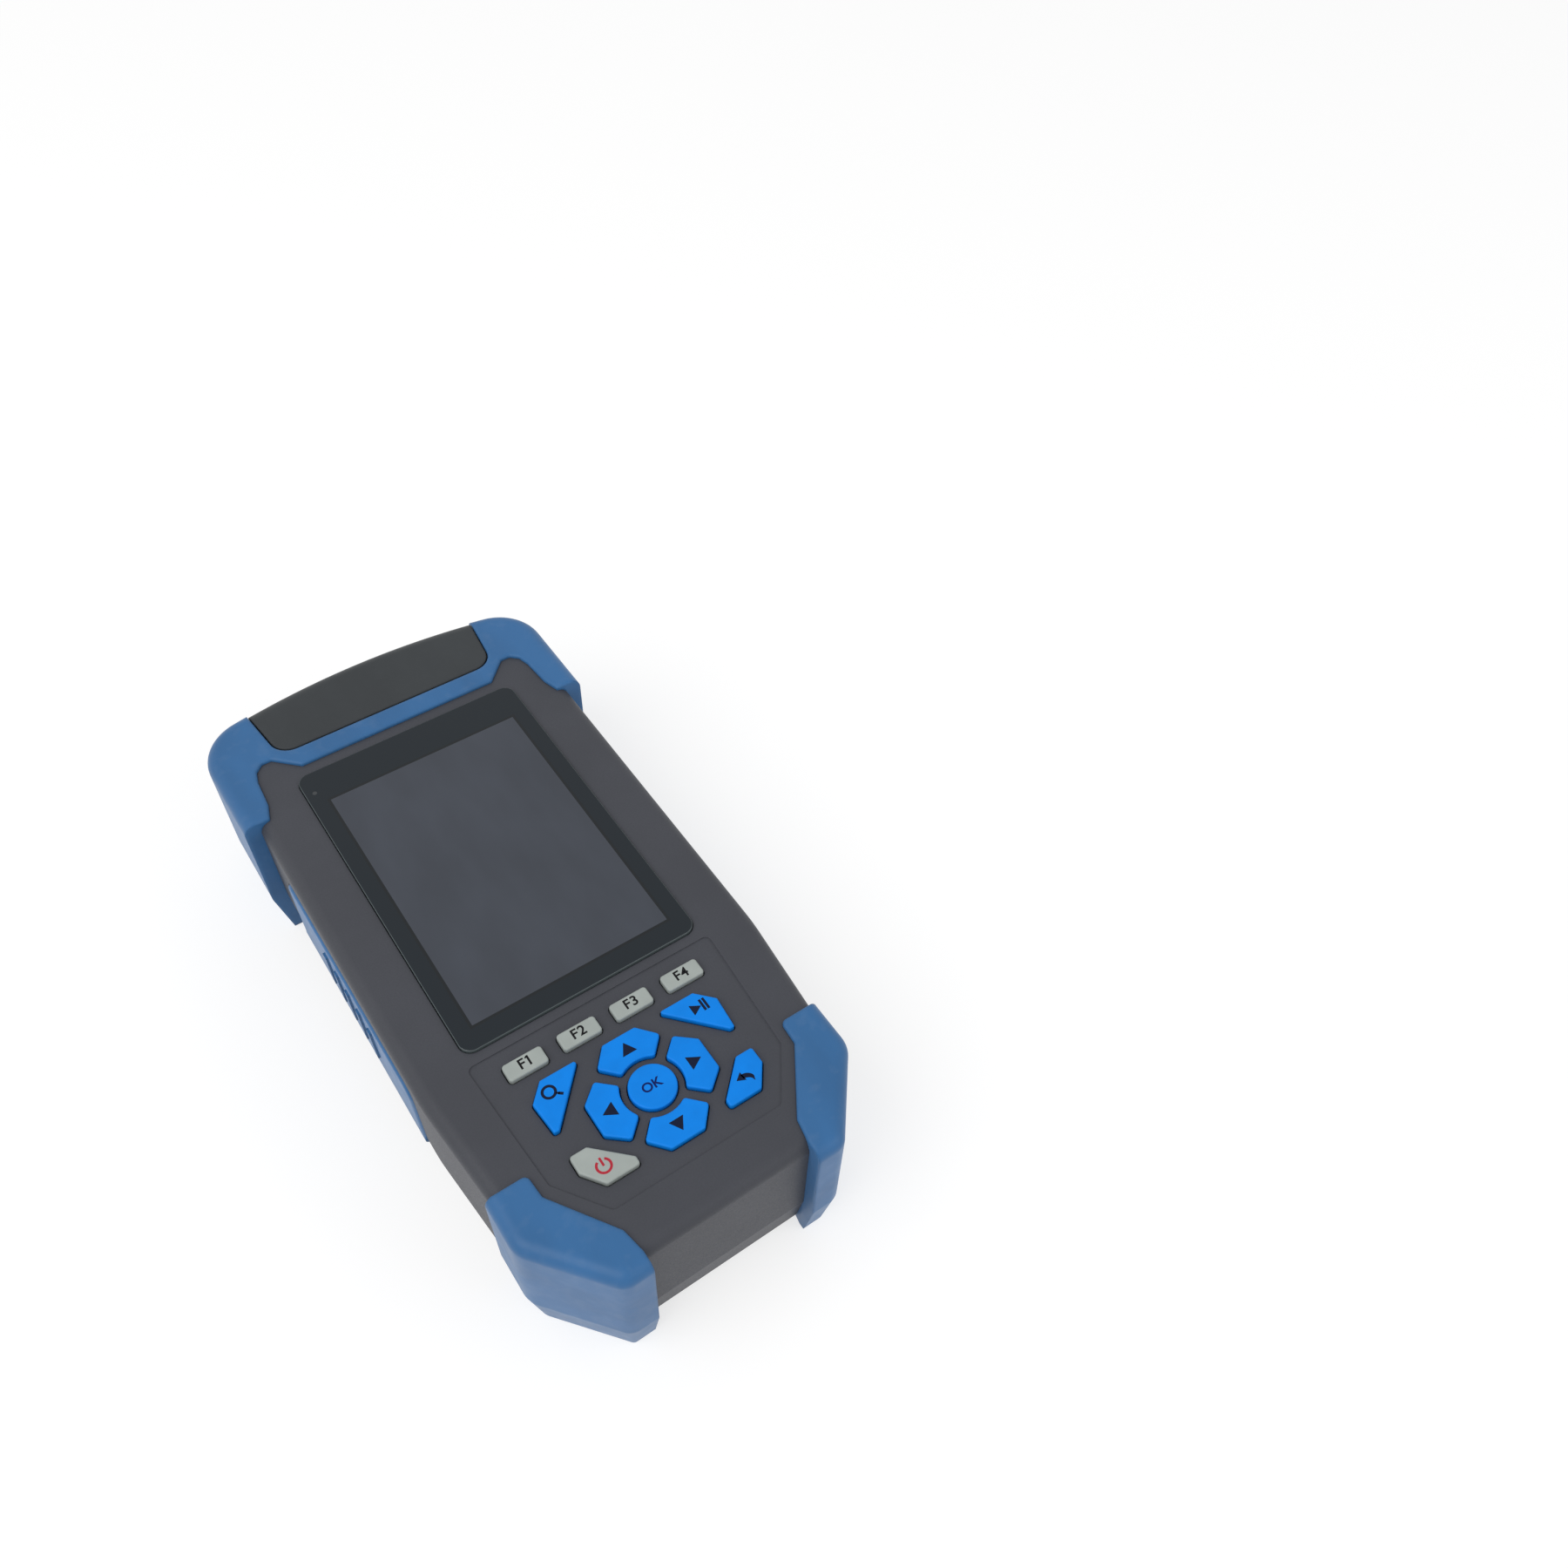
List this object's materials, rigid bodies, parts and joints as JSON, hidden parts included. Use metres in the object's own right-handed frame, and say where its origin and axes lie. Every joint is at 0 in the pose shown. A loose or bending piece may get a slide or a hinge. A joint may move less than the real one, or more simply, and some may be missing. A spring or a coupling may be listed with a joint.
{
  "type": "optical time domain reflectometer",
  "caption": "Handheld optical time domain reflectometer: grey moulded housing with blue rubber bumpers, dark screen, keypad and a hinged cap over its optical ports.",
  "frame": {"origin": "middle of the footprint, on the surface that the bumpers lie on", "axes": "+X to the right, +Y towards the connector end, +Z out of the screen"},
  "size_m": [0.092, 0.1832, 0.0434],
  "materials": {
    "body_grey": "fine moulded texture",
    "bumper_blue": "satin rubber",
    "cap_black": "matt rubber",
    "steel": "turned, plated",
    "lens_glass": "polished, printed black behind",
    "gasket_black": "foam tape",
    "display_dark": "display switched off",
    "membrane_grey": "silicone",
    "dome_steel": "stamped",
    "board_green": "solder mask",
    "engine_aluminium": "milled",
    "spool_white": "plain moulded",
    "battery_sleeve": "shrink sleeve",
    "port_metal": "nickel plated",
    "panel_black": "plain moulded",
    "jack_shell": "tinned sheet",
    "key_blue": "satin silicone",
    "key_pale": "satin silicone"
  },
  "bodies": {
    "housing": {"front_shell": "body_grey", "rear_shell": "body_grey", "head_bumper": "bumper_blue", "foot_bumper_left": "bumper_blue", "foot_bumper_right": "bumper_blue", "right_side_grip": "bumper_blue", "cap_hinge_pin": "steel", "left_cover_pin": "steel", "screen_lens": "lens_glass", "lens_gasket": "gasket_black", "lcd_module": "display_dark", "keypad_membrane": "membrane_grey", "key_domes": "dome_steel", "main_pcb": "board_green", "optical_engine": "engine_aluminium", "fibre_spool": "spool_white", "battery_pack": "battery_sleeve", "battery_door": "body_grey", "door_screws": "steel", "case_screws": "steel", "otdr_port": "port_metal", "opm_port": "port_metal", "vfl_port": "port_metal", "left_port_panel": "panel_black", "network_jack_a": "jack_shell", "network_jack_b": "jack_shell", "usb_jack": "jack_shell"},
    "key_f1_cap": {"key_f1": "key_pale"},
    "key_f2_cap": {"key_f2": "key_pale"},
    "key_f3_cap": {"key_f3": "key_pale"},
    "key_f4_cap": {"key_f4": "key_pale"},
    "key_search_cap": {"key_search": "key_blue"},
    "key_play_cap": {"key_play": "key_blue"},
    "key_up_cap": {"key_up": "key_blue"},
    "key_left_cap": {"key_left": "key_blue"},
    "key_ok_cap": {"key_ok": "key_blue"},
    "key_right_cap": {"key_right": "key_blue"},
    "key_down_cap": {"key_down": "key_blue"},
    "key_power_cap": {"key_power": "key_pale"},
    "key_back_cap": {"key_back": "key_blue"},
    "cap": {"connector_cap": "cap_black"},
    "port_cover": {"left_port_cover": "bumper_blue"},
    "stand": {"kickstand": "body_grey"}
  },
  "joints": [
    {"name": "key_f1_press", "type": "slide", "parent": "housing", "child": "key_f1_cap", "axis": [0, 0, -1], "range_m": [0, 0.0008], "stiffness_N_per_m": 900},
    {"name": "key_f2_press", "type": "slide", "parent": "housing", "child": "key_f2_cap", "axis": [0, 0, -1], "range_m": [0, 0.0008], "stiffness_N_per_m": 900},
    {"name": "key_f3_press", "type": "slide", "parent": "housing", "child": "key_f3_cap", "axis": [0, 0, -1], "range_m": [0, 0.0008], "stiffness_N_per_m": 900},
    {"name": "key_f4_press", "type": "slide", "parent": "housing", "child": "key_f4_cap", "axis": [0, 0, -1], "range_m": [0, 0.0008], "stiffness_N_per_m": 900},
    {"name": "key_search_press", "type": "slide", "parent": "housing", "child": "key_search_cap", "axis": [0, 0, -1], "range_m": [0, 0.0008], "stiffness_N_per_m": 900},
    {"name": "key_play_press", "type": "slide", "parent": "housing", "child": "key_play_cap", "axis": [0, 0, -1], "range_m": [0, 0.0008], "stiffness_N_per_m": 900},
    {"name": "key_up_press", "type": "slide", "parent": "housing", "child": "key_up_cap", "axis": [0, 0, -1], "range_m": [0, 0.0008], "stiffness_N_per_m": 900},
    {"name": "key_left_press", "type": "slide", "parent": "housing", "child": "key_left_cap", "axis": [0, 0, -1], "range_m": [0, 0.0008], "stiffness_N_per_m": 900},
    {"name": "key_ok_press", "type": "slide", "parent": "housing", "child": "key_ok_cap", "axis": [0, 0, -1], "range_m": [0, 0.0008], "stiffness_N_per_m": 900},
    {"name": "key_right_press", "type": "slide", "parent": "housing", "child": "key_right_cap", "axis": [0, 0, -1], "range_m": [0, 0.0008], "stiffness_N_per_m": 900},
    {"name": "key_down_press", "type": "slide", "parent": "housing", "child": "key_down_cap", "axis": [0, 0, -1], "range_m": [0, 0.0008], "stiffness_N_per_m": 900},
    {"name": "key_power_press", "type": "slide", "parent": "housing", "child": "key_power_cap", "axis": [0, 0, -1], "range_m": [0, 0.0008], "stiffness_N_per_m": 900},
    {"name": "key_back_press", "type": "slide", "parent": "housing", "child": "key_back_cap", "axis": [0, 0, -1], "range_m": [0, 0.0008], "stiffness_N_per_m": 900},
    {"name": "cap_hinge", "type": "hinge", "parent": "housing", "child": "cap", "pos_m": [0, 0.0876, 0.018], "axis": [-1, 0, 0], "range_deg": [0, 120]},
    {"name": "port_cover_hinge", "type": "hinge", "parent": "housing", "child": "port_cover", "pos_m": [-0.04125, 0.0064, 0.0124], "axis": [0, -1, 0], "range_deg": [0, 100]},
    {"name": "kickstand_hinge", "type": "hinge", "parent": "housing", "child": "stand", "pos_m": [0, 0.0589, 0.0027], "axis": [1, 0, 0], "range_deg": [0, 60]}
  ]
}
